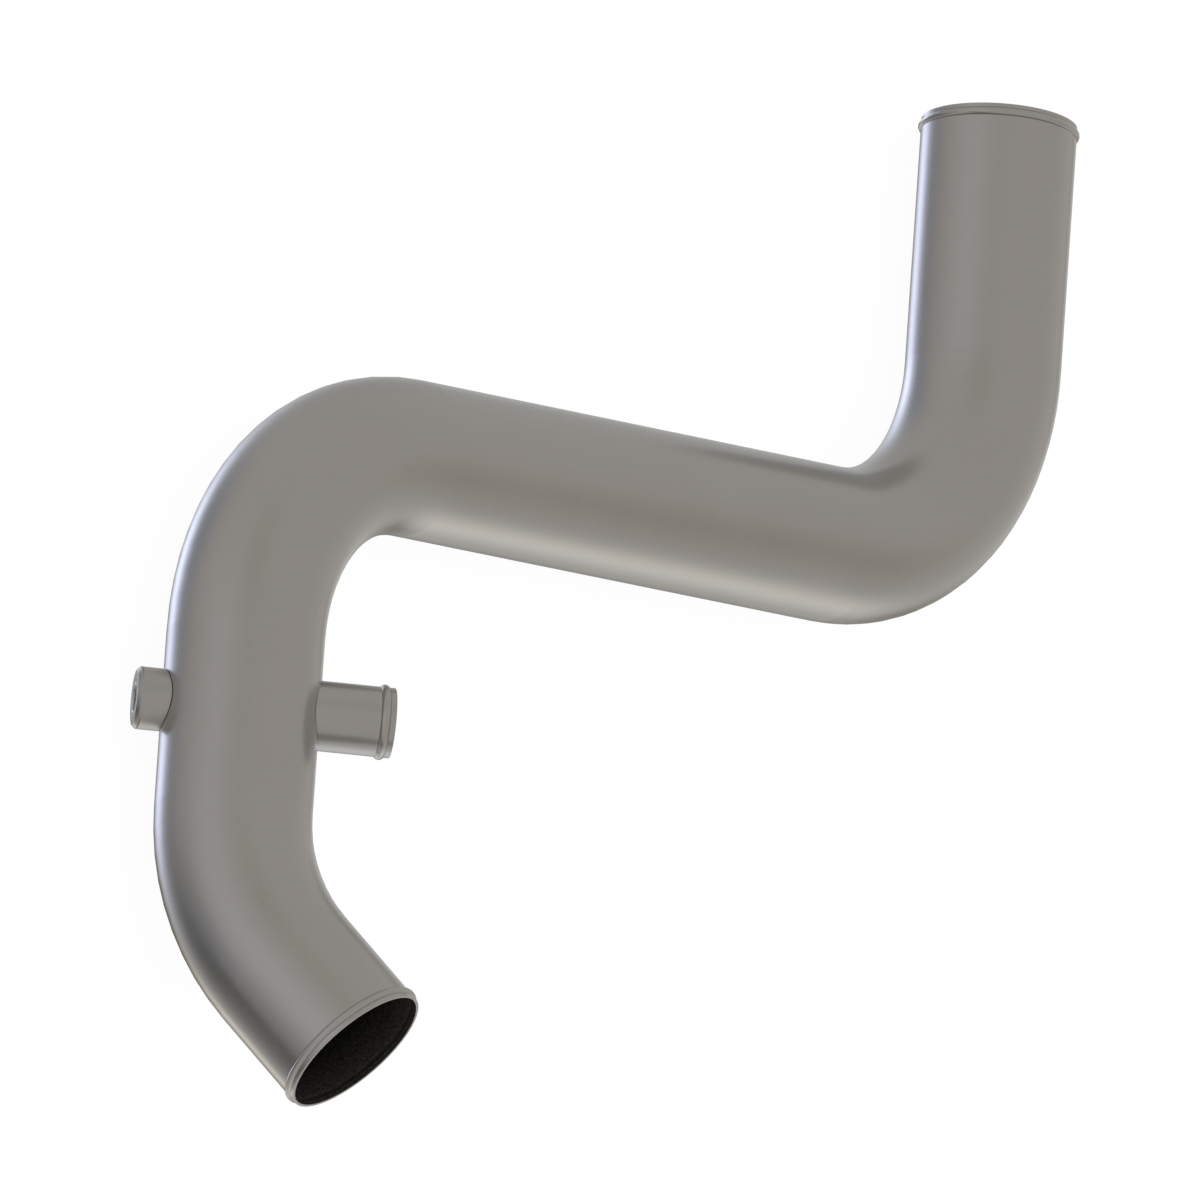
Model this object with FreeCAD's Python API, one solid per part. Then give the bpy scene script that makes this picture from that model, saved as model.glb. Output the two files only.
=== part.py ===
import FreeCAD, Part
import math
import os
from FreeCAD import Placement, Rotation, Vector

# Coolant pipe: one bent tube with a rolled hose bead at each end, a hose spigot and a
# threaded sensor boss on opposite sides of one run. Lengths in mm, angles in degrees.

# main tube
PIPE_OD = 63.0
PIPE_WALL = 1.25
BEND_RADIUS = 95.0            # to the tube's centreline

# straight runs in the order of the tube, from the long leg's open end to the short leg's
LEG_RUN = 101.8
MIDDLE_RUN = 248.3
BRANCH_RUN = 71.0
MOUTH_RUN = 45.9

# how far each bend turns the tube
LEG_BEND = 84.2
BRANCH_BEND = 84.2
MOUTH_BEND = 42.8
MOUTH_ROLL = 59.6             # the last bend's plane, above the plane of the first two

# rolled bead at the open ends of the main tube
PIPE_BEAD_HEIGHT = 1.1
PIPE_BEAD_WIDTH = 3.0
PIPE_BEAD_SETBACK = 3.3       # open end to the bead's crest
PIPE_GROOVE_DEPTH = 0.8       # the hollow that the rolling leaves inside
PIPE_GROOVE_WIDTH = 2.2

# spigot and boss share one axis across the branch run
BRANCH_OFFSET = 29.2          # start of the branch run to that axis
BRANCH_ROLL = 39.7            # spigot's direction, above the plane of the first two bends

# hose spigot
SPIGOT_OD = 28.0
SPIGOT_WALL = 1.25
SPIGOT_REACH = 60.7           # main tube's centreline to the spigot's open end
SPIGOT_BEAD_HEIGHT = 1.05
SPIGOT_BEAD_WIDTH = 3.6
SPIGOT_BEAD_SETBACK = 4.2
SPIGOT_GROOVE_DEPTH = 0.7
SPIGOT_GROOVE_WIDTH = 2.4

# sensor boss, tapped M12 x 1.5: the wall stands at the tapping-drill size
BOSS_OD = 25.0
BOSS_REACH = 42.6             # main tube's centreline to the boss's face
BOSS_CHAMFER = 1.5
TAP_HOLE = 10.5
COUNTERSINK = 12.3

EDGE_BREAK = 0.2              # on the rims of the cut tube ends

REST_ROUNDS = 20              # repeats of the search for the level the pipe lies on

X_AXIS = Vector(1, 0, 0)
Y_AXIS = Vector(0, 1, 0)
Z_AXIS = Vector(0, 0, 1)
ORIGIN = Vector(0, 0, 0)


def unit(vector):
    """The vector at length 1."""
    return vector * (1.0 / vector.Length)


class Station:
    """A point of the tube's centreline, the way the tube runs there and the side it bends to."""

    def __init__(self, point, along, side):
        self.point = point
        self.along = along
        self.side = side

    def after_run(self, length):
        return Station(self.point + self.along * length, self.along, self.side)

    def after_bend(self, angle):
        centre = self.point + self.side * BEND_RADIUS
        turn = Rotation(self.along.cross(self.side), angle)
        return Station(
            centre + turn.multVec(self.point - centre),
            turn.multVec(self.along),
            turn.multVec(self.side),
        )

    def rolled(self, angle):
        return Station(self.point, self.along, Rotation(self.along, angle).multVec(self.side))


def section(start, outer, inner):
    """Flat ring across the tube, or a disc where the inner radius is 0."""
    face = Part.Face(Part.Wire(Part.makeCircle(outer, start.point, start.along)))
    if inner > 0:
        hole = Part.Face(Part.Wire(Part.makeCircle(inner, start.point, start.along)))
        face = face.cut(hole).Faces[0]
    return face


def straight_piece(start, length, outer, inner=0.0):
    return section(start, outer, inner).extrude(start.along * length)


def bent_piece(start, angle, outer, inner=0.0):
    centre = start.point + start.side * BEND_RADIUS
    return section(start, outer, inner).revolve(centre, start.along.cross(start.side), angle)


def joined(solids):
    """One solid from solids that meet face to face."""
    return solids[0].multiFuse(solids[1:]).removeSplitter().Solids[0]


def beaded_tube(outside, wall, length, height, width, setback, depth, hollow):
    """Tube along +Z with its open end at z = 0 and a rolled bead near it.

    Its half section is a rectangle with both rims broken, an arc that swells the outside by
    the bead's height and an arc that hollows the bore behind it.
    """
    outer = outside / 2
    inner = outer - wall
    corners = [
        Vector(inner + EDGE_BREAK, 0, 0),
        Vector(outer - EDGE_BREAK, 0, 0),
        Vector(outer, 0, EDGE_BREAK),
        Vector(outer, 0, setback - width / 2),
        Vector(outer, 0, setback + width / 2),
        Vector(outer, 0, length),
        Vector(inner, 0, length),
        Vector(inner, 0, setback + hollow / 2),
        Vector(inner, 0, setback - hollow / 2),
        Vector(inner, 0, EDGE_BREAK),
    ]
    bead_crest = Vector(outer + height, 0, setback)
    hollow_floor = Vector(inner + depth, 0, setback)
    edges = [Part.makeLine(a, b) for a, b in zip(corners, corners[1:] + corners[:1])]
    edges[3] = Part.Arc(corners[3], bead_crest, corners[4]).toShape()
    edges[7] = Part.Arc(corners[7], hollow_floor, corners[8]).toShape()
    return Part.Face(Part.Wire(edges)).revolve(ORIGIN, Z_AXIS, 360)


def set_at(shape, point, along):
    """The shape with its origin moved to a point and its +Z turned to a direction."""
    return shape.transformed(Placement(point, Rotation(Z_AXIS, along)).toMatrix())


def ring_low(centre, axis, radius, up):
    """Lowest point of a circle, for a given direction upwards."""
    return centre - unit(up - axis * axis.dot(up)) * radius


# The centreline, as laid with its first two bends in the plane z = 0. They turn opposite
# ways, so the branch run is parallel to the leg run when their angles are equal.
leg_rim = Station(ORIGIN, -Y_AXIS, -X_AXIS)
leg_end = leg_rim.after_run(LEG_RUN)
middle_start = leg_end.after_bend(LEG_BEND)
middle_end = middle_start.after_run(MIDDLE_RUN).rolled(180)
branch_start = middle_end.after_bend(BRANCH_BEND)
branch_end = branch_start.after_run(BRANCH_RUN).rolled(MOUTH_ROLL)
mouth_start = branch_end.after_bend(MOUTH_BEND)
mouth_rim = mouth_start.after_run(MOUTH_RUN)

branch_centre = branch_start.after_run(BRANCH_OFFSET).point
spigot_way = branch_start.rolled(BRANCH_ROLL).side
boss_way = -spigot_way

# Main tube: beaded ends, bends and runs in one solid, drilled under the spigot and the boss.
pipe_outer = PIPE_OD / 2
pipe_inner = pipe_outer - PIPE_WALL
spigot_inner = SPIGOT_OD / 2 - SPIGOT_WALL
bead_sizes = (
    PIPE_BEAD_HEIGHT,
    PIPE_BEAD_WIDTH,
    PIPE_BEAD_SETBACK,
    PIPE_GROOVE_DEPTH,
    PIPE_GROOVE_WIDTH,
)
leg_tube = beaded_tube(PIPE_OD, PIPE_WALL, LEG_RUN, *bead_sizes)
mouth_tube = beaded_tube(PIPE_OD, PIPE_WALL, MOUTH_RUN, *bead_sizes)
main_pipe = joined([
    set_at(leg_tube, leg_rim.point, leg_rim.along),
    bent_piece(leg_end, LEG_BEND, pipe_outer, pipe_inner),
    straight_piece(middle_start, MIDDLE_RUN, pipe_outer, pipe_inner),
    bent_piece(middle_end, BRANCH_BEND, pipe_outer, pipe_inner),
    straight_piece(branch_start, BRANCH_RUN, pipe_outer, pipe_inner),
    bent_piece(branch_end, MOUTH_BEND, pipe_outer, pipe_inner),
    set_at(mouth_tube, mouth_rim.point, -mouth_rim.along),
])
spigot_hole = Part.makeCylinder(spigot_inner, PIPE_OD, branch_centre, spigot_way)
boss_hole = Part.makeCylinder(TAP_HOLE / 2, PIPE_OD, branch_centre, boss_way)
main_pipe = main_pipe.cut(spigot_hole).cut(boss_hole)

# What the spigot and the boss are cut to: the outside of the branch run and its two bends.
saddle = joined([
    bent_piece(middle_end, BRANCH_BEND, pipe_outer),
    straight_piece(branch_start, BRANCH_RUN, pipe_outer),
    bent_piece(branch_end, MOUTH_BEND, pipe_outer),
])

spigot_tube = beaded_tube(
    SPIGOT_OD,
    SPIGOT_WALL,
    SPIGOT_REACH,
    SPIGOT_BEAD_HEIGHT,
    SPIGOT_BEAD_WIDTH,
    SPIGOT_BEAD_SETBACK,
    SPIGOT_GROOVE_DEPTH,
    SPIGOT_GROOVE_WIDTH,
)
spigot_rim = branch_centre + spigot_way * SPIGOT_REACH
branch_spigot = set_at(spigot_tube, spigot_rim, -spigot_way).cut(saddle)

# Sensor boss: half section turned about the axis, from the main tube's centreline to the
# chamfered face, around a tapped hole with a countersunk mouth.
boss_outer = BOSS_OD / 2
sink = (COUNTERSINK - TAP_HOLE) / 2
boss_corners = [
    Vector(TAP_HOLE / 2, 0, 0),
    Vector(boss_outer, 0, 0),
    Vector(boss_outer, 0, BOSS_REACH - BOSS_CHAMFER),
    Vector(boss_outer - BOSS_CHAMFER, 0, BOSS_REACH),
    Vector(COUNTERSINK / 2, 0, BOSS_REACH),
    Vector(TAP_HOLE / 2, 0, BOSS_REACH - sink),
]
boss_half = Part.Face(Part.makePolygon(boss_corners + boss_corners[:1]))
sensor_boss = set_at(boss_half.revolve(ORIGIN, Z_AXIS, 360), branch_centre, boss_way).cut(saddle)

# The pipe lies on three points: the long leg's bead, the outside of the first bend and the
# boss's edge. Each round takes their lowest points at the present level, and the plane
# through those three is the next level.
leg_bead = leg_rim.after_run(PIPE_BEAD_SETBACK).point
boss_rings = (
    (branch_centre + boss_way * (BOSS_REACH - BOSS_CHAMFER), boss_outer),
    (branch_centre + boss_way * BOSS_REACH, boss_outer - BOSS_CHAMFER),
)
bend_points = [leg_end.after_bend(LEG_BEND * i / 90).point for i in range(91)]
up = Z_AXIS
for _ in range(REST_ROUNDS):
    bead_low = ring_low(leg_bead, leg_rim.along, pipe_outer + PIPE_BEAD_HEIGHT, up)
    bend_low = min(bend_points, key=up.dot) - up * pipe_outer
    boss_low = min((ring_low(c, boss_way, r, up) for c, r in boss_rings), key=up.dot)
    up = unit((bead_low - boss_low).cross(bend_low - boss_low))
    up = up if up.z > 0 else -up

# Row frame: z = 0 under those points, +X along the middle run from the branch run to the leg.
ahead = middle_start.along * -1
ahead = unit(ahead - up * ahead.dot(up))
level = Rotation(ahead, up.cross(ahead), up, "ZXY").inverted()
solids = {
    "main_pipe": main_pipe,
    "branch_spigot": branch_spigot,
    "sensor_boss": sensor_boss,
}
laid = {name: s.transformed(Placement(ORIGIN, level).toMatrix()) for name, s in solids.items()}
box = FreeCAD.BoundBox()
for shape in laid.values():
    box.add(shape.optimalBoundingBox(False, False))
ground = Placement(Vector(-box.Center.x, -box.Center.y, -box.ZMin), Rotation())

os.makedirs("parts", exist_ok=True)
for name, shape in laid.items():
    node = shape.transformed(ground.toMatrix()).Solids[0]
    node.exportStep(os.path.join("parts", name + ".step"))
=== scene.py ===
import math
from types import SimpleNamespace

import bpy
import numpy as np
from mathutils import Matrix, Vector


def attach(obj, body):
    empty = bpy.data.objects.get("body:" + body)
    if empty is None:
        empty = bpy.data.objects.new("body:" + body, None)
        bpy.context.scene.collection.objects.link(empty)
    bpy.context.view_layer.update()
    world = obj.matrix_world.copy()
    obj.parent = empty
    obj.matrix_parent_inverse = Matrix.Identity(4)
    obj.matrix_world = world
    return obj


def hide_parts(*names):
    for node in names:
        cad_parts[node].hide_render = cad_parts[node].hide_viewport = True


# Coolant pipe in satin grey steel: the solids keep their shape and get worked metal finishes,
# and the sensor boss is turned again with its real thread. Metres, in the solids' own frame.

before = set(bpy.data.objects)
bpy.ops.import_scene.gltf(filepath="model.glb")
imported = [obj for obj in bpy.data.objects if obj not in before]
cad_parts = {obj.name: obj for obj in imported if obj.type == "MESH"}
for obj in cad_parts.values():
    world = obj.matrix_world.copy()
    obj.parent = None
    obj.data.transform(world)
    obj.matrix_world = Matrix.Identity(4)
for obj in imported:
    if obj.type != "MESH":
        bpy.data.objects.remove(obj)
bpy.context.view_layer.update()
scene = bpy.context.scene

MM = 0.001
TAU = 2.0 * math.pi

# centreline of the main tube: where its straight runs would meet, from the long leg's rim
CORNERS = np.array([
    (229.196, 230.283, 32.628),
    (210.211, 43.614, 30.984),
    (-209.731, 43.614, 36.539),
    (-229.367, -149.452, 34.839),
    (-206.462, -213.514, 82.609),
]) * MM
BEND_RADIUS = 95.0 * MM
PIPE_OUTER = 31.5 * MM
BEAD_CREST = 3.3 * MM                 # rim to the crest of the rolled bead
BEAD_HALF_WIDTH = 1.5 * MM

# spigot and boss stand on one axis across the branch run
BRANCH_CENTRE = np.array((-221.371, -70.831, 35.531)) * MM
BRANCH_ALONG = np.array((-0.10118, -0.99483, -0.00876))
SPIGOT_WAY = np.array((0.77383, -0.08423, 0.62777))
SPIGOT_OUTER = 14.0 * MM
SPIGOT_REACH = 60.7 * MM
SPIGOT_BEAD = 4.2 * MM                # rim to the crest of its bead
SPIGOT_BEAD_HALF = 1.8 * MM

BOSS_RADIUS = 12.5 * MM
BOSS_REACH = 42.6 * MM
BOSS_CHAMFER = 1.5 * MM
BOSS_ROUND = 0.2 * MM                 # edges left by the lathe tool
BOSS_FOOT = 0.3 * MM                  # the foot's broken edge, the thin dark line round it
SINK_RADIUS = 6.15 * MM
SINK_ROUND = 0.1 * MM                 # between the face and the countersink
THREAD_CREST = 5.25 * MM
THREAD_ROOT = 6.0 * MM
THREAD_PITCH = 1.5 * MM
THREAD_START = 0.12 * MM              # below the face
TAPPED_RADIUS = 6.1 * MM              # the whole thread lies within it

# rows of points on each stretch of the boss's profile, and angles round it
FOOT_ROWS = 5
WALL_ROWS = 12
THREAD_ROWS = 230
SADDLE_ROWS = 7
BOSS_ANGLES = 192


def unit(vector):
    """The vector at length 1."""
    return vector / np.linalg.norm(vector)


# ---------------------------------------------------------------- shapes

def grid_piece(name, points, material):
    """Closed surface from an (m, n, 3) array of points that wraps round in both directions.

    Quad (i, j) joins points (i, j), (i, j+1), (i+1, j+1) and (i+1, j), with i and j taken
    modulo m and n, so both seams are closed and no pole is left.
    """
    m, n = points.shape[:2]
    i, j = np.meshgrid(np.arange(m), np.arange(n), indexing="ij")
    down, across = (i + 1) % m, (j + 1) % n
    quads = np.stack([i * n + j, i * n + across, down * n + across, down * n + j], axis=-1)
    quads = quads.reshape(-1, 4)
    mesh = bpy.data.meshes.new(name)
    mesh.vertices.add(m * n)
    mesh.vertices.foreach_set("co", points.reshape(-1).astype(np.float32))
    mesh.loops.add(quads.size)
    mesh.loops.foreach_set("vertex_index", quads.reshape(-1).astype(np.int32))
    mesh.polygons.add(len(quads))
    mesh.polygons.foreach_set("loop_start", np.arange(0, quads.size, 4, dtype=np.int32))
    mesh.polygons.foreach_set("use_smooth", np.ones(len(quads), dtype=bool))
    mesh.update(calc_edges=True)
    mesh.validate()
    mesh.materials.append(material)
    piece = bpy.data.objects.new(name, mesh)
    scene.collection.objects.link(piece)
    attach(piece, "root")
    return piece


def rounded(before, corner, after, radius, steps=5):
    """Points of a small arc in place of a corner: a quadratic curve from radius before the
    corner to radius after it, with the corner itself as its middle control point."""
    start = corner + unit(before - corner) * radius
    end = corner + unit(after - corner) * radius
    t = np.linspace(0.0, 1.0, steps)[:, None]
    return (1 - t) ** 2 * start + 2 * t * (1 - t) * corner + t ** 2 * end


def thread_radius(height, angle):
    """Radius of the tapped wall: a triangle wave of the height less one pitch per turn, cut
    flat at a quarter pitch on the crests and an eighth on the roots."""
    turns = height / THREAD_PITCH - angle / TAU
    wave = np.abs(2.0 * (turns - np.floor(turns)) - 1.0)          # 1 at a root, 0 at a crest
    depth = np.clip((wave - 0.25) / (1.0 - 0.25 - 0.125), 0.0, 1.0)
    return THREAD_CREST + (THREAD_ROOT - THREAD_CREST) * depth


def turned_boss(material):
    """The sensor boss: one closed profile per angle, carried round the boss's axis.

    The profile goes up the outer wall from the saddle, over the chamfer, across the face and
    down the countersink, then down the tapped wall and back along the saddle. The saddle is
    where the distance from the tube's axis is the tube's radius: its height above that axis is
    the root of radius squared less the sideways distance squared.
    """
    angle = np.linspace(0.0, TAU, BOSS_ANGLES, endpoint=False)[None, :]
    away = -SPIGOT_WAY
    side = np.cross(away, BRANCH_ALONG)

    def saddle(radius):
        return np.sqrt(PIPE_OUTER ** 2 - (radius * np.sin(angle)) ** 2)

    def ring(radius, height):
        return np.stack(np.broadcast_arrays(radius + 0 * angle, height + 0 * angle), axis=-1)

    top = BOSS_REACH
    wall_top = np.array((BOSS_RADIUS, top - BOSS_CHAMFER))
    face_edge = np.array((BOSS_RADIUS - BOSS_CHAMFER, top))
    sink_edge = np.array((SINK_RADIUS, top))
    # any lower point of the wall, only for the direction of the edge round
    wall_low = np.array((BOSS_RADIUS, top - 4 * BOSS_CHAMFER))
    sink_low = np.array((THREAD_CREST, top - (SINK_RADIUS - THREAD_CREST)))
    rows = []
    # broken edge of the foot, a quarter circle drawn in by BOSS_FOOT
    for part in np.linspace(0.0, 1.0, FOOT_ROWS):
        turn = part * math.pi / 2
        rows.append(ring(BOSS_RADIUS - BOSS_FOOT * (1 - math.sin(turn)),
                         saddle(BOSS_RADIUS) + BOSS_FOOT * (1 - math.cos(turn))))
    foot = rows[-1][0, :, 1]
    for part in np.linspace(0.0, 1.0, WALL_ROWS)[1:]:
        rows.append(ring(BOSS_RADIUS, foot * (1 - part) + (wall_top[1] - BOSS_ROUND) * part))
    for a, b, c in ((wall_low, wall_top, face_edge), (wall_top, face_edge, sink_edge),
                    (face_edge, sink_edge, sink_low)):
        size = SINK_ROUND if c is sink_low else BOSS_ROUND
        for radius, height in rounded(a, b, c, size):
            rows.append(ring(radius, height))
    # tapped wall, cut back by the countersink's cone near the top
    low = saddle(THREAD_CREST)
    high = top - THREAD_START
    for part in np.linspace(0.0, 1.0, THREAD_ROWS):
        height = high * (1 - part) + low * part
        cone = SINK_RADIUS - (top - height)
        rows.append(ring(np.maximum(thread_radius(height, angle), cone), height))
    inner = rows[-1][0, :, 0]
    for part in np.linspace(0.0, 1.0, SADDLE_ROWS)[1:-1]:
        radius = inner * (1 - part) + (BOSS_RADIUS - BOSS_FOOT) * part
        rows.append(ring(radius, saddle(radius)))
    profile = np.concatenate(rows, axis=0)                        # rows, angles, (r, h)
    radius, height = profile[..., :1], profile[..., 1:]
    round_way = np.cos(angle)[..., None] * BRANCH_ALONG + np.sin(angle)[..., None] * side
    points = BRANCH_CENTRE + height * away + radius * round_way
    return grid_piece("sensor_boss_turned", points, material)


# ---------------------------------------------------------------- shader helpers

def fill(tree, socket, value):
    """Gives an input a plain value, or a link where the value is another node's output."""
    if isinstance(value, bpy.types.NodeSocket):
        tree.links.new(value, socket)
    else:
        socket.default_value = value


def node(tree, kind, sockets=None, **settings):
    """Adds a node, sets its settings, and fills its inputs with plain values or with links."""
    made = tree.nodes.new(kind)
    for key, value in settings.items():
        setattr(made, key, value)
    for key, value in (sockets or {}).items():
        fill(tree, made.inputs[key], value)
    return made


def sums(tree, operation, a, b=None, c=None):
    """Result of one Math node."""
    values = {i: v for i, v in enumerate((a, b, c)) if v is not None}
    return node(tree, "ShaderNodeMath", values, operation=operation).outputs[0]


def vectors(tree, operation, a, b=None, scale=None):
    """Result of one Vector Math node: a number for dot, length and distance, else a vector."""
    values = {i: v for i, v in ((0, a), (1, b), ("Scale", scale)) if v is not None}
    made = node(tree, "ShaderNodeVectorMath", values, operation=operation)
    return made.outputs["Value" if operation in ("DOT_PRODUCT", "LENGTH", "DISTANCE") else 0]


def blend_colours(tree, how, factor, a, b):
    """Result of one colour Mix node."""
    values = {0: factor, 6: a, 7: b}
    return node(tree, "ShaderNodeMix", values, data_type="RGBA", blend_type=how).outputs[2]


def spread(tree, value, low, high, to_low=0.0, to_high=1.0):
    """Smooth step of a value between low and high."""
    return node(tree, "ShaderNodeMapRange", {"Value": value, "From Min": low, "From Max": high,
                                             "To Min": to_low, "To Max": to_high},
                interpolation_type="SMOOTHSTEP").outputs[0]


def group(name, inputs, outputs):
    """Empty shader group with named sockets, and its input and output nodes."""
    made = bpy.data.node_groups.new(name, "ShaderNodeTree")
    for label, kind, value in inputs:
        socket = made.interface.new_socket(label, in_out="INPUT", socket_type=kind)
        if value is not None:
            socket.default_value = value
    for label, kind in outputs:
        made.interface.new_socket(label, in_out="OUTPUT", socket_type=kind)
    return made, made.nodes.new("NodeGroupInput"), made.nodes.new("NodeGroupOutput")


FLOAT, VECTOR = "NodeSocketFloat", "NodeSocketVector"


def centreline_group():
    """Distance of a point from the main tube's centreline, in metres.

    Each straight run gives the distance to the nearest point of its own segment. Each bend
    gives the distance to its circle, the root of (distance from the bend's axis less the bend
    radius) squared plus (height off the bend's plane) squared, only between its two end
    planes. The least of them all is the answer.
    """
    made, given, result = group("distance from centreline", [("Position", VECTOR, None)],
                                [("Distance", FLOAT)])
    place = given.outputs["Position"]
    ways = [unit(b - a) for a, b in zip(CORNERS[:-1], CORNERS[1:])]
    start, least = CORNERS[0], None

    def keep(distance):
        return distance if least is None else sums(made, "MINIMUM", least, distance)

    def run(begin, end):
        way = unit(end - begin)
        from_begin = vectors(made, "SUBTRACT", place, tuple(begin))
        along = vectors(made, "DOT_PRODUCT", from_begin, tuple(way))
        along = sums(made, "MAXIMUM", along, 0.0)
        along = sums(made, "MINIMUM", along, float(np.linalg.norm(end - begin)))
        foot = vectors(made, "SCALE", tuple(way), scale=along)
        return vectors(made, "DISTANCE", from_begin, foot)

    def bend(begin, first, second, reach):
        inward = unit(second - first * (first @ second))
        centre = begin + inward * BEND_RADIUS
        axis = unit(np.cross(first, second))
        end = begin + first * reach + second * reach
        arm = vectors(made, "SUBTRACT", place, tuple(centre))
        height = vectors(made, "DOT_PRODUCT", arm, tuple(axis))
        lift = vectors(made, "SCALE", tuple(axis), scale=height)
        swing = vectors(made, "DISTANCE", arm, lift)
        flat = sums(made, "SUBTRACT", swing, BEND_RADIUS)
        squares = sums(made, "MULTIPLY_ADD", flat, flat, sums(made, "MULTIPLY", height, height))
        distance = sums(made, "SQRT", squares)
        past_first = vectors(made, "DOT_PRODUCT",
                             vectors(made, "SUBTRACT", place, tuple(begin)), tuple(first))
        past_last = vectors(made, "DOT_PRODUCT",
                            vectors(made, "SUBTRACT", place, tuple(end)), tuple(second))
        outside = sums(made, "MAXIMUM", sums(made, "LESS_THAN", past_first, 0.0),
                       sums(made, "GREATER_THAN", past_last, 0.0))
        return sums(made, "ADD", distance, outside), end

    for number in range(3):
        first, second = ways[number], ways[number + 1]
        turn = math.acos(float(np.clip(first @ second, -1.0, 1.0)))
        reach = BEND_RADIUS * math.tan(turn / 2)
        begin = CORNERS[number + 1] - first * reach
        least = keep(run(start, begin))
        distance, start = bend(begin, first, second, reach)
        least = keep(distance)
    least = keep(run(start, CORNERS[4]))
    made.links.new(least, result.inputs["Distance"])
    return made


def grain_group():
    """Satin finish of blasted and handled steel.

    Fine grain about a millimetre across, a coarser mottle and a slow drift over centimetres,
    as a colour factor, a change of roughness and a height.
    """
    made, given, result = group(
        "satin steel grain",
        [("Position", VECTOR, None), ("Grain", FLOAT, 1.0), ("Mottle", FLOAT, 1.0)],
        [("Shade", FLOAT), ("Roughness change", FLOAT), ("Height", FLOAT)])
    place = given.outputs["Position"]
    fine = node(made, "ShaderNodeTexNoise",
                {"Vector": place, "Scale": 1400.0, "Detail": 3.0, "Roughness": 0.6})
    coarse = node(made, "ShaderNodeTexNoise",
                  {"Vector": place, "Scale": 260.0, "Detail": 4.0, "Roughness": 0.55})
    slow = node(made, "ShaderNodeTexNoise",
                {"Vector": place, "Scale": 22.0, "Detail": 2.0, "Roughness": 0.5})
    fine_off = sums(made, "SUBTRACT", fine.outputs[0], 0.5)
    coarse_off = sums(made, "SUBTRACT", coarse.outputs[0], 0.5)
    slow_off = sums(made, "SUBTRACT", slow.outputs[0], 0.5)
    speckle_shade, patch_shade = 0.14, 0.07
    speckle_rough, patch_rough = 0.10, 0.08
    speckle = sums(made, "MULTIPLY", fine_off, given.outputs["Grain"])
    patches = sums(made, "MULTIPLY", sums(made, "MULTIPLY_ADD", coarse_off, 0.5, slow_off),
                   given.outputs["Mottle"])
    shade = sums(made, "MULTIPLY_ADD", speckle, speckle_shade,
                 sums(made, "MULTIPLY_ADD", patches, patch_shade, 1.0))
    rough = sums(made, "MULTIPLY_ADD", speckle, speckle_rough,
                 sums(made, "MULTIPLY", patches, patch_rough))
    height = sums(made, "MULTIPLY_ADD", coarse_off, 0.6, speckle)
    made.links.new(shade, result.inputs["Shade"])
    made.links.new(rough, result.inputs["Roughness change"])
    made.links.new(height, result.inputs["Height"])
    return made


def painted_crevice_shade_group():
    """Painted shade: a dark line where shade gathers in a crevice. 1 within half of Width from
    Level, and fading to
    0 at twice Width."""
    made, given, result = group(
        "painted crevice shade line",
        [("Distance", FLOAT, 0.0), ("Level", FLOAT, 0.0), ("Width", FLOAT, 0.0005)],
        [("Line", FLOAT)])
    off = sums(made, "ABSOLUTE",
               sums(made, "SUBTRACT", given.outputs["Distance"], given.outputs["Level"]))
    share = sums(made, "DIVIDE", off, given.outputs["Width"])
    made.links.new(spread(made, share, 0.5, 2.0, 1.0, 0.0), result.inputs["Line"])
    return made


CENTRELINE = centreline_group()
GRAIN = grain_group()
PAINTED_CREVICE_SHADE = painted_crevice_shade_group()

# finish of the photographed metal: satin, slightly warm grey
STEEL = (0.285, 0.262, 0.243, 1.0)
STEEL_PAINTED_SHEEN = (1.04, 1.09, 1.16, 1.0)          # multiplies the steel's colour: a painted cool sheen on the spigot's side towards the mouth
STEEL_SHADE = (0.060, 0.055, 0.050, 1.0)      # painted shade at the roots and beads, in the second bend's inner corner and deep in the boss's thread
STEEL_MIRRORED = (0.570, 0.560, 0.545, 1.0)   # steel seen in steel, and painted light at the mouth of the boss's thread
STEEL_ROUGHNESS = 0.25
GRAIN_HEIGHT = 0.04 * MM
# painted shade: the bores are coloured near black
BORE_BLACK = (0.0228, 0.0210, 0.0190)
BORE_ROUGHNESS = 0.90
PAINTED_SHADE_STRENGTH = 0.45                          # share of STEEL_SHADE where the painted shade is 1

# how far behind its outer surface or its rim a tube still counts as its outside
PIPE_SKIN = 0.35 * MM
SPIGOT_SKIN = 0.30 * MM
RIM_SKIN = 0.12 * MM

# widths of the painted dark lines of shade, of the painted soft shade at the roots and of the
# lathe tool's rings
PIPE_BEAD_LINE = 0.20 * MM
SPIGOT_BEAD_LINE = 0.12 * MM
PIPE_ROOT_LINE = 0.15 * MM
SPIGOT_ROOT_LINE = 0.18 * MM
BOSS_ROOT_LINE = 0.20 * MM
ROOT_SHADE = 5.2 * MM
TOOL_RING = 0.22 * MM

# painted shade: a soft dark patch in the second bend's inner corner
CORNER_SHADE_CENTRE = (-144.5 * MM, 12.2 * MM, 49.7 * MM)
CORNER_SHADE_ALONG = (0.943, 0.332, 0.020)
CORNER_SHADE_STRETCH = 0.45                         # makes it 1.8 times as long as high
CORNER_SHADE_CORE, CORNER_SHADE_EDGE = 0.5 * MM, 4.2 * MM
CORNER_SHADE_STRENGTH = 0.32


def place_group(tree, made, **sockets):
    """A shader group placed in a material with its own values."""
    used = tree.nodes.new("ShaderNodeGroup")
    used.node_tree = made
    for key, value in sockets.items():
        fill(tree, used.inputs[key], value)
    return used


def along_axis(tree, place, origin, way):
    """Distance along an axis and distance from it, of every point."""
    arm = vectors(tree, "SUBTRACT", place, tuple(origin))
    along = vectors(tree, "DOT_PRODUCT", arm, tuple(way))
    foot = vectors(tree, "SCALE", tuple(way), scale=along)
    return along, vectors(tree, "DISTANCE", arm, foot)


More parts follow.
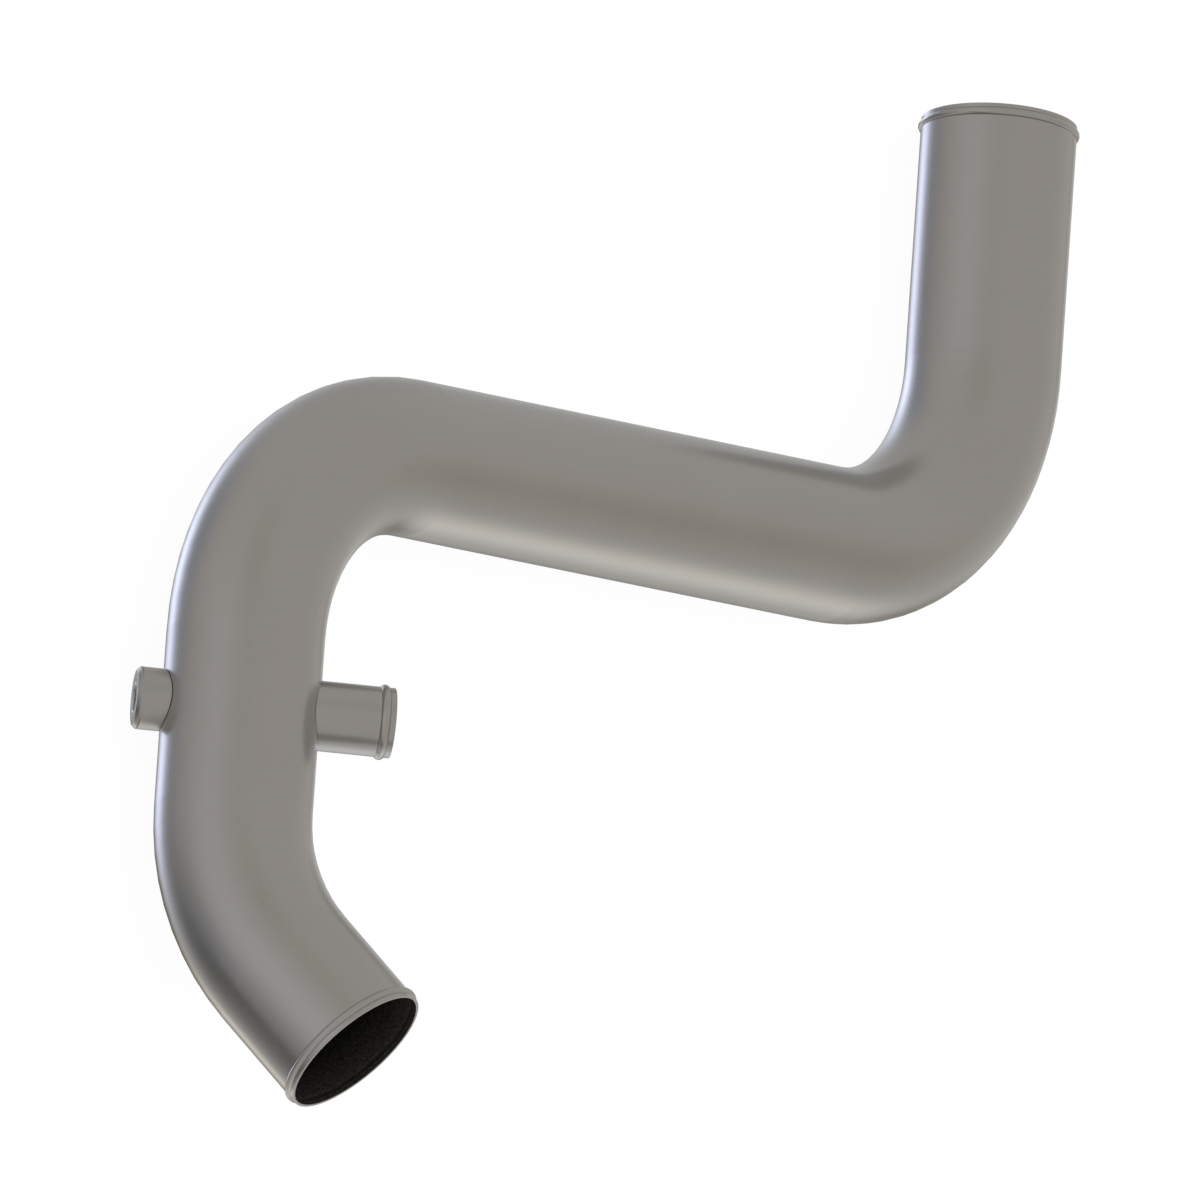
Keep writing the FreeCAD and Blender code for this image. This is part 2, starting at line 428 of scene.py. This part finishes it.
def towards_mouth(tree, place, across):
    """How a point lies round the branch axis: 1 towards the mouth, -1 towards the leg."""
    arm = vectors(tree, "SUBTRACT", place, tuple(BRANCH_CENTRE))
    ahead = vectors(tree, "DOT_PRODUCT", arm, tuple(BRANCH_ALONG))
    return sums(tree, "DIVIDE", ahead, across)


def steel_material(name, grain, mottle, bump):
    """A satin steel with its grain, and the parts of it that the pieces add to."""
    material = bpy.data.materials.new(name)
    material.use_nodes = True
    tree = material.node_tree
    tree.nodes.clear()
    place = node(tree, "ShaderNodeTexCoord").outputs["Object"]
    grains = place_group(tree, GRAIN, Position=place, Grain=grain, Mottle=mottle)
    shade = node(tree, "ShaderNodeCombineColor",
                 {"Red": grains.outputs["Shade"], "Green": grains.outputs["Shade"],
                  "Blue": grains.outputs["Shade"]}).outputs[0]
    shaded = blend_colours(tree, "MULTIPLY", 1.0, STEEL, shade)
    # the photographed steel mirrors its own bends only faintly, so steel seen in steel is
    # paler: a choice made on the photo, not physics
    mirrored = node(tree, "ShaderNodeLightPath").outputs["Is Glossy Ray"]
    shaded = blend_colours(tree, "MIX", mirrored, shaded, STEEL_MIRRORED)
    rough = sums(tree, "ADD", grains.outputs["Roughness change"], STEEL_ROUGHNESS)
    height = node(tree, "ShaderNodeBump",
                  {"Height": grains.outputs["Height"], "Strength": bump,
                   "Distance": GRAIN_HEIGHT})
    metal = node(tree, "ShaderNodeBsdfPrincipled", {"Metallic": 1.0, "Specular IOR Level": 0.0})
    node(tree, "ShaderNodeOutputMaterial", {"Surface": metal.outputs[0]})
    tree.links.new(height.outputs[0], metal.inputs["Normal"])
    return SimpleNamespace(material=material, tree=tree, place=place, metal=metal,
                           colour=shaded, rough=rough, bump=height)


def dark_inside(steel, colour, inside, depth):
    """Base colour, roughness and metal of a steel piece with a bore in painted shade: near
    black and faintly grained, lighter near the rim where light falls and blacker further in."""
    tree, place, metal = steel.tree, steel.place, steel.metal
    bore_noise = node(tree, "ShaderNodeTexNoise",
                {"Vector": place, "Scale": 900.0, "Detail": 4.0, "Roughness": 0.7})
    patches = spread(tree, bore_noise.outputs[0], 0.3, 0.7, to_low=0.45, to_high=1.55)
    # painted light and shade: lighter near the rim where light falls, blacker further in
    patches = sums(tree, "MULTIPLY", patches,
                   spread(tree, depth, 2.0 * MM, 22.0 * MM, to_low=1.25, to_high=0.52))
    black = vectors(tree, "SCALE", BORE_BLACK, scale=patches)
    colour = blend_colours(tree, "MIX", inside, colour, black)
    tree.links.new(colour, metal.inputs["Base Color"])
    fade = node(tree, "ShaderNodeMix", {0: inside, 2: steel.rough, 3: BORE_ROUGHNESS},
                data_type="FLOAT")
    tree.links.new(fade.outputs[0], metal.inputs["Roughness"])
    tree.links.new(sums(tree, "SUBTRACT", 1.0, inside), metal.inputs["Metallic"])


def with_painted_shade(tree, painted_shade, colour):
    """A steel's colour with its painted dark lines and shades over it."""
    share = sums(tree, "MULTIPLY", painted_shade, PAINTED_SHADE_STRENGTH)
    return blend_colours(tree, "MIX", share, colour, STEEL_SHADE)


def main_tube_steel():
    """The main tube: satin outside, painted near black inside the bore from just behind each
    rim, with painted shade:
    dark lines at the beads and roots, a soft shade at the roots and one faint dark patch in the
    second bend's inner corner."""
    steel = steel_material("main_tube_steel", grain=1.0, mottle=1.0, bump=0.35)
    tree, place = steel.tree, steel.place
    off_centre = place_group(tree, CENTRELINE, Position=place).outputs["Distance"]
    inner = sums(tree, "LESS_THAN", off_centre, PIPE_OUTER - PIPE_SKIN)
    rims = []
    depths = []
    lines = []
    for rim, inward, lip_line in ((CORNERS[0], unit(CORNERS[1] - CORNERS[0]), 0.9),
                                  (CORNERS[4], unit(CORNERS[3] - CORNERS[4]), 0.35)):
        depth, across = along_axis(tree, place, rim, inward)
        near_rim = sums(tree, "LESS_THAN", across, 2.0 * PIPE_OUTER)
        front = sums(tree, "LESS_THAN", depth, RIM_SKIN)
        rims.append(sums(tree, "MULTIPLY", near_rim, front))
        # a metre more away from the rim's own run
        depths.append(sums(tree, "ADD", depth, sums(tree, "SUBTRACT", 1.0, near_rim)))
        # painted shade: dark lines at both roots of each bead
        for root, strength in ((BEAD_CREST - BEAD_HALF_WIDTH, lip_line),
                               (BEAD_CREST + BEAD_HALF_WIDTH, 1.0)):
            line = place_group(tree, PAINTED_CREVICE_SHADE, Distance=depth, Level=root,
                               Width=PIPE_BEAD_LINE)
            line = sums(tree, "MULTIPLY", line.outputs[0], strength)
            lines.append(sums(tree, "MULTIPLY", line, near_rim))
    # both rims lie on the outside, whatever their distance from the centreline
    rim = sums(tree, "MAXIMUM", rims[0], rims[1])
    inside = sums(tree, "MULTIPLY", inner, sums(tree, "SUBTRACT", 1.0, rim))
    # painted shade: the dark lines, the soft shade at the roots and the dark patch in the
    # bend's corner, gathered into one mask
    painted_shade = lines[0]
    for line in lines[1:]:
        painted_shade = sums(tree, "MAXIMUM", painted_shade, line)
    for way, radius in ((SPIGOT_WAY, SPIGOT_OUTER), (-SPIGOT_WAY, BOSS_RADIUS)):
        height_up, across = along_axis(tree, place, BRANCH_CENTRE, way)
        line = place_group(tree, PAINTED_CREVICE_SHADE, Distance=across, Level=radius,
                           Width=PIPE_ROOT_LINE)
        # the painted dark line fades and a painted soft shade grows on the side towards the
        # mouth
        lee = towards_mouth(tree, place, across)
        line = sums(tree, "MULTIPLY", line.outputs[0],
                    spread(tree, lee, 0.3, 0.8, to_low=1.0, to_high=0.35))
        halo = sums(tree, "MULTIPLY",
                    spread(tree, lee, 0.1, 1.0, to_low=0.05, to_high=0.55),
                    spread(tree, across, radius, radius + ROOT_SHADE, 1.0, 0.0))
        on_side = sums(tree, "GREATER_THAN", height_up, 0.0)
        near = sums(tree, "MAXIMUM", line, halo)
        painted_shade = sums(tree, "MAXIMUM", painted_shade, sums(tree, "MULTIPLY", near, on_side))
    # painted shade: a soft dark patch in the second bend's inner corner
    arm = vectors(tree, "SUBTRACT", place, CORNER_SHADE_CENTRE)
    along = vectors(tree, "DOT_PRODUCT", arm, CORNER_SHADE_ALONG)
    stretched = vectors(tree, "SUBTRACT", arm,
                        vectors(tree, "SCALE", CORNER_SHADE_ALONG,
                                scale=sums(tree, "MULTIPLY", along, CORNER_SHADE_STRETCH)))
    corner_shade = spread(tree, vectors(tree, "LENGTH", stretched), CORNER_SHADE_CORE, CORNER_SHADE_EDGE,
                    CORNER_SHADE_STRENGTH, 0.0)
    painted_shade = sums(tree, "MAXIMUM", painted_shade, corner_shade)
    colour = with_painted_shade(tree, painted_shade, steel.colour)
    depth = sums(tree, "MINIMUM", depths[0], depths[1])
    dark_inside(steel, colour, inside, depth)
    return steel.material


def spigot_steel():
    """The hose spigot: the same steel with a painted cool sheen on the side towards the mouth,
    painted near black in its bore, with a thin painted dark line of shade at its root and at
    both sides of its bead."""
    steel = steel_material("spigot_tube_steel", grain=0.8, mottle=1.0, bump=0.3)
    tree, place = steel.tree, steel.place
    rim = BRANCH_CENTRE + SPIGOT_WAY * SPIGOT_REACH
    depth, across = along_axis(tree, place, rim, -SPIGOT_WAY)
    inner = sums(tree, "LESS_THAN", across, SPIGOT_OUTER - SPIGOT_SKIN)
    behind = sums(tree, "GREATER_THAN", depth, RIM_SKIN)
    inside = sums(tree, "MULTIPLY", inner, behind)
    off_centre = place_group(tree, CENTRELINE, Position=place).outputs["Distance"]
    # painted shade: dark lines at the spigot's root and at both sides of its bead
    painted_shade = place_group(tree, PAINTED_CREVICE_SHADE, Distance=off_centre, Level=PIPE_OUTER,
                       Width=SPIGOT_ROOT_LINE).outputs[0]
    for root in (SPIGOT_BEAD - SPIGOT_BEAD_HALF, SPIGOT_BEAD + SPIGOT_BEAD_HALF):
        line = place_group(tree, PAINTED_CREVICE_SHADE, Distance=depth, Level=root,
                           Width=SPIGOT_BEAD_LINE)
        painted_shade = sums(tree, "MAXIMUM", painted_shade, line.outputs[0])
    # painted sheen: the side towards the mouth is tinted cooler and paler
    sheen_side = spread(tree, towards_mouth(tree, place, across), 0.75, 0.98)
    colour = blend_colours(tree, "MULTIPLY", sheen_side, steel.colour, STEEL_PAINTED_SHEEN)
    dark_inside(steel, with_painted_shade(tree, painted_shade, colour), inside, depth)
    return steel.material


def boss_steel():
    """The turned boss: fine tool rings round its axis, painted light at the mouth of its
    thread, painted shade further down in it, and a painted dark line of shade at its root that
    fades towards the mouth of the pipe."""
    steel = steel_material("turned_boss_steel", grain=0.6, mottle=0.8, bump=0.25)
    tree, place, metal, bump = steel.tree, steel.place, steel.metal, steel.bump
    rise, across = along_axis(tree, place, BRANCH_CENTRE, -SPIGOT_WAY)
    rings = sums(tree, "SINE", sums(tree, "MULTIPLY", sums(tree, "ADD", rise, across),
                                    TAU / TOOL_RING))
    grain_height = bump.inputs["Height"].links[0].from_socket
    tree.links.new(sums(tree, "MULTIPLY_ADD", rings, 0.25, grain_height),
                   bump.inputs["Height"])
    off_centre = place_group(tree, CENTRELINE, Position=place).outputs["Distance"]
    foot = place_group(tree, PAINTED_CREVICE_SHADE, Distance=off_centre, Level=PIPE_OUTER,
                       Width=BOSS_ROOT_LINE).outputs[0]
    # painted shade deep in the tapped hole
    deep = spread(tree, rise, BOSS_REACH - 14.0 * MM, BOSS_REACH - 5.0 * MM, 1.0, 0.0)
    tapped = sums(tree, "LESS_THAN", across, TAPPED_RADIUS)
    painted_hole_shade = sums(tree, "MULTIPLY", sums(tree, "MULTIPLY", tapped, deep), 0.10)
    # painted shade: the dark line at the root fades towards the mouth
    foot = sums(tree, "MULTIPLY", foot,
                spread(tree, towards_mouth(tree, place, across), 0.3, 0.8,
                       to_low=0.6, to_high=0.1))
    dark = sums(tree, "MAXIMUM", painted_hole_shade, foot)
    # painted light: the thread is paler towards its mouth
    painted_mouth_light = sums(tree, "MULTIPLY", tapped, spread(tree, rise, BOSS_REACH - 8.0 * MM,
                                                  BOSS_REACH - 3.0 * MM, to_high=0.40))
    colour = blend_colours(tree, "MIX", painted_mouth_light, steel.colour, STEEL_MIRRORED)
    colour = blend_colours(tree, "MIX", dark, colour, STEEL_SHADE)
    tree.links.new(colour, metal.inputs["Base Color"])
    tree.links.new(steel.rough, metal.inputs["Roughness"])
    return steel.material


# ---------------------------------------------------------------- pieces

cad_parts["main_pipe"].material_slots[0].material = main_tube_steel()
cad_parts["branch_spigot"].material_slots[0].material = spigot_steel()
boss = turned_boss(boss_steel())
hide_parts("sensor_boss")
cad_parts["sensor_boss"].material_slots[0].material = boss.data.materials[0]


# ---------------------------------------------------------------- studio

# the floor's colour, how much of it glows white to the camera, and how strongly
FLOOR_PALE = 0.92
FLOOR_GLOW_SHARE = 0.92
FLOOR_GLOW = 1.035


def studio_floor():
    """A pale sheet under the pipe: a flat square grid at height 0."""
    half, steps = 3.0, 13
    line = np.linspace(-half, half, steps)
    x, y = np.meshgrid(line, line, indexing="ij")
    points = np.stack([x, y, 0 * x], axis=-1).reshape(-1, 3)
    i, j = np.meshgrid(np.arange(steps - 1), np.arange(steps - 1), indexing="ij")
    corner = (i * steps + j).reshape(-1, 1)
    quads = np.hstack([corner, corner + steps, corner + steps + 1, corner + 1])
    mesh = bpy.data.meshes.new("studio_floor")
    mesh.from_pydata(points.tolist(), [], quads.tolist())
    material = bpy.data.materials.new("pale_floor")
    material.use_nodes = True
    tree = material.node_tree
    tree.nodes.clear()
    seen = node(tree, "ShaderNodeLightPath").outputs["Is Camera Ray"]
    paper = node(tree, "ShaderNodeBsdfDiffuse",
                 {"Color": (FLOOR_PALE, FLOOR_PALE, FLOOR_PALE, 1.0)})
    glow = node(tree, "ShaderNodeEmission",
                {"Color": (1.0, 1.0, 1.0, 1.0), "Strength": FLOOR_GLOW})
    both = node(tree, "ShaderNodeMixShader",
                {0: sums(tree, "MULTIPLY", seen, FLOOR_GLOW_SHARE),
                 1: paper.outputs[0], 2: glow.outputs[0]})
    node(tree, "ShaderNodeOutputMaterial", {"Surface": both.outputs[0]})
    mesh.materials.append(material)
    floor = bpy.data.objects.new("studio_floor", mesh)
    scene.collection.objects.link(floor)
    # the metal reflects the room's lobes of light all round instead, the low ones too
    floor.visible_glossy = False


# Light of the white room, in the solids' frame: its even level, then for each brighter panel
# or dimmer patch its direction, its tightness and the colour that it adds. The sum stays
# above 0 in every direction.
ROOM = (0.897, 0.910, 0.904)
PANELS = {
    "panel straight below": ((0.20, 0.34, -0.92), 50.0, (1.30, 1.44, 1.77)),
    "panel on its left": ((0.03, 0.27, -0.96), 50.0, (0.96, 1.09, 1.75)),
    "panel behind it": ((0.26, 0.50, -0.83), 50.0, (0.66, 0.77, 1.11)),
    "panel below in front": ((0.35, -0.20, -0.92), 100.0, (0.94, 0.91, 0.74)),
    "panel low in front": ((0.61, -0.74, -0.28), 25.0, (1.00, 1.03, 1.00)),
    "paler floor in front": ((0.47, -0.50, -0.73), 25.0, (0.37, 0.39, 0.43)),
    "wall on the left": ((-0.99, 0.04, 0.14), 12.0, (0.18, 0.19, 0.29)),
    "wall on the right": ((0.92, 0.08, -0.39), 50.0, (0.04, 0.03, 0.01)),
    "dim edge of the right wall": ((0.96, 0.17, -0.22), 100.0, (-0.32, -0.34, -0.35)),
    "dim floor on the left": ((-0.43, -0.21, -0.88), 12.0, (-0.58, -0.57, -0.54)),
    "dim strip beside it": ((-0.61, -0.34, -0.71), 100.0, (-0.25, -0.26, -0.29)),
    "dim floor further left": ((-0.84, -0.09, -0.54), 25.0, (-0.25, -0.23, -0.17)),
    "dim floor on the right": ((0.44, 0.12, -0.89), 50.0, (-0.80, -0.86, -0.94)),
    "dim floor further right": ((0.81, -0.19, -0.55), 50.0, (-0.56, -0.60, -0.65)),
    "dim floor behind": ((-0.19, 0.57, -0.80), 12.0, (-0.33, -0.28, -0.15)),
    "dim wall behind": ((0.61, 0.64, -0.48), 12.0, (-0.25, -0.24, -0.23)),
    "dim wall above the left": ((-0.53, 0.58, 0.62), 25.0, (-0.10, -0.09, -0.12)),
    "dim wall in front": ((0.73, -0.34, 0.59), 25.0, (-0.13, -0.15, -0.22)),
    "dim corner opposite the camera": ((0.71, 0.08, -0.70), 60.0, (-0.50, -0.49, -0.49)),
}


def studio_room():
    """The white room: plain white to the camera. The metal and the floor see its even level
    plus its panels and patches, each a smooth lobe: the exponential of its tightness times
    (the cosine of the angle off its direction, less 1)."""
    world = bpy.data.worlds.new("white_room")
    scene.world = world
    world.use_nodes = True
    tree = world.node_tree
    tree.nodes.clear()
    way = node(tree, "ShaderNodeTexCoord").outputs["Generated"]
    way = vectors(tree, "NORMALIZE", way)
    light = None
    for direction, tight, colour in PANELS.values():
        cosine = vectors(tree, "DOT_PRODUCT", way, tuple(unit(np.array(direction))))
        lobe = sums(tree, "EXPONENT", sums(tree, "MULTIPLY_ADD", cosine, tight, -tight))
        glow = vectors(tree, "SCALE", colour, scale=lobe)
        light = vectors(tree, "ADD", glow, ROOM if light is None else light)
    path = node(tree, "ShaderNodeLightPath")
    shown = blend_colours(tree, "MIX", path.outputs["Is Camera Ray"], light,
                          (1.0, 1.0, 1.0, 1.0))
    back = node(tree, "ShaderNodeBackground", {"Color": shown, "Strength": 1.0})
    node(tree, "ShaderNodeOutputWorld", {"Surface": back.outputs[0]})


def studio_camera():
    """Long lens from the photograph's side: 42 degrees above the floor, turned on its side."""
    aim = Vector((-0.01165, 0.00157, 0.035))
    azimuth, elevation, roll = (math.radians(a) for a in (-164.980, 41.983, 79.308))
    distance = 22.583
    toward = Vector((math.cos(elevation) * math.cos(azimuth),
                     math.cos(elevation) * math.sin(azimuth), math.sin(elevation)))
    level = Vector((0.0, 0.0, 1.0)).cross(toward).normalized()
    rise = toward.cross(level)
    right = level * math.cos(roll) + rise * math.sin(roll)
    up = toward.cross(right)
    data = bpy.data.cameras.new("photo_camera")
    data.sensor_width = 36.0
    data.lens = 1700.0
    data.clip_start = 1.0
    data.clip_end = 60.0
    camera = bpy.data.objects.new("photo_camera", data)
    scene.collection.objects.link(camera)
    turn = Matrix((right, up, toward)).transposed().to_4x4()
    turn.translation = aim + toward * distance
    camera.matrix_world = turn
    scene.camera = camera


studio_floor()
studio_room()
studio_camera()
scene.view_settings.view_transform = "Standard"
